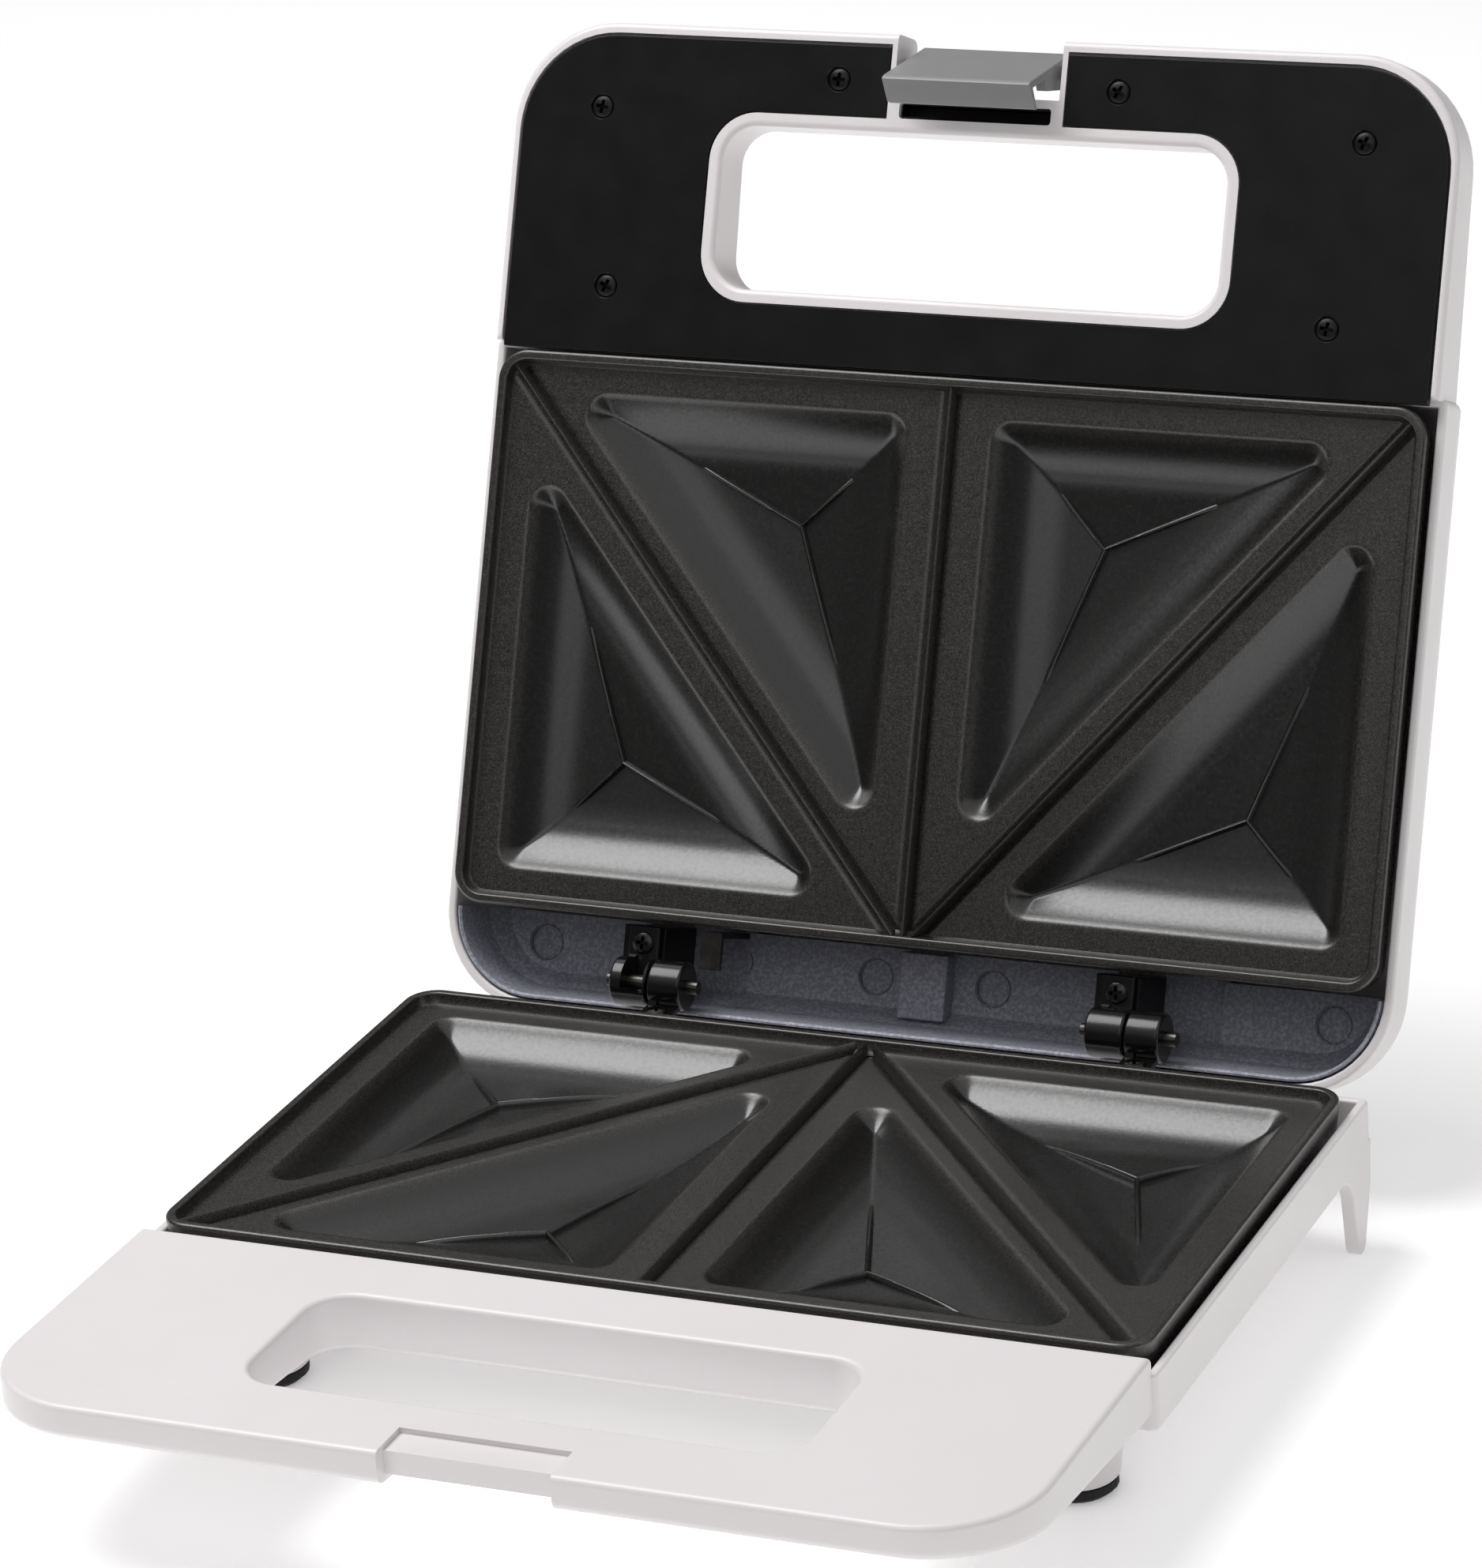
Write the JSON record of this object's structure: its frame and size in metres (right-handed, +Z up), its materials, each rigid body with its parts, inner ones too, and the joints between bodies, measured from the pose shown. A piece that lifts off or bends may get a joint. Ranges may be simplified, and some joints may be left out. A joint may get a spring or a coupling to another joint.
{
  "type": "sandwich toaster",
  "caption": "Open hinged sandwich toaster with triangular-pocket plates, white housings, handles with finger holes and a swinging latch clip.",
  "frame": {"origin": "middle of the open toaster's box, on the surface that it stands on", "axes": "+X along the hinge line, +Y from the handles to the hinges, +Z up"},
  "size_m": [0.2236, 0.3114, 0.2331],
  "materials": {
    "white_plastic": "satin moulded",
    "black_satin": "satin",
    "clip_grey": "smooth satin",
    "cover_grey": "fine speckled",
    "non_stick": "speckled non-stick coat",
    "hinge_black": "gloss",
    "rubber": "matte",
    "ceramic": "matte",
    "wire_sleeve": "woven sleeve",
    "element_steel": "satin",
    "dark_steel": "satin",
    "shield_aluminium": "mill",
    "red_lens": "translucent gloss",
    "green_lens": "translucent gloss"
  },
  "bodies": {
    "base": {"lower_housing": "white_plastic", "bottom_cover": "white_plastic", "handle_under_cover": "white_plastic", "lower_plate": "non_stick", "lower_heater": "element_steel", "lower_heat_shield": "shield_aluminium", "thermostat": "ceramic", "thermal_fuse": "ceramic", "foot_pad_left": "rubber", "foot_pad_right": "rubber", "cord_inlet_bush": "rubber", "terminal_block": "ceramic", "wire_live": "wire_sleeve", "wire_neutral": "wire_sleeve", "bottom_screw_1": "dark_steel", "bottom_screw_2": "dark_steel", "bottom_screw_3": "dark_steel", "bottom_screw_4": "dark_steel", "hinge_left_base_leaf": "hinge_black", "hinge_left_pin": "dark_steel", "hinge_left_base_screw": "dark_steel", "hinge_right_base_leaf": "hinge_black", "hinge_right_pin": "dark_steel", "hinge_right_base_screw": "dark_steel"},
    "lid": {"upper_housing": "white_plastic", "handle_panel": "black_satin", "inner_lid_cover": "cover_grey", "spring_tab": "dark_steel", "upper_plate": "non_stick", "upper_heater": "element_steel", "upper_heat_shield": "shield_aluminium", "panel_screw_1": "black_satin", "panel_screw_2": "black_satin", "panel_screw_3": "black_satin", "panel_screw_4": "black_satin", "panel_screw_5": "black_satin", "panel_screw_6": "black_satin", "lamp_lens_red": "red_lens", "lamp_lens_green": "green_lens", "hinge_left_lid_leaf": "hinge_black", "hinge_left_lid_screw": "dark_steel", "hinge_right_lid_leaf": "hinge_black", "hinge_right_lid_screw": "dark_steel"},
    "clip_spindle": {"clip_pin": "dark_steel"},
    "clip": {"latch_clip": "clip_grey"}
  },
  "joints": [
    {"name": "lid_hinge", "type": "hinge", "parent": "base", "child": "lid", "pos_m": [0, 0.06231, 0.0373], "axis": [-1, 0, 0], "range_deg": [-112.8, 0]},
    {"name": "clip_spindle_turn", "type": "hinge", "parent": "lid", "child": "clip_spindle", "pos_m": [0, 0.1494, 0.22513], "axis": [-1, 0, 0], "range_deg": [0, 64]},
    {"name": "clip_swing", "type": "hinge", "parent": "clip_spindle", "child": "clip", "pos_m": [0, 0.1494, 0.22513], "axis": [-1, 0, 0], "range_deg": [-7.5, 25]}
  ],
  "couplings": [
    {"joint": "clip_spindle_turn", "follows": "lid_hinge", "ratio": -0.567}
  ]
}
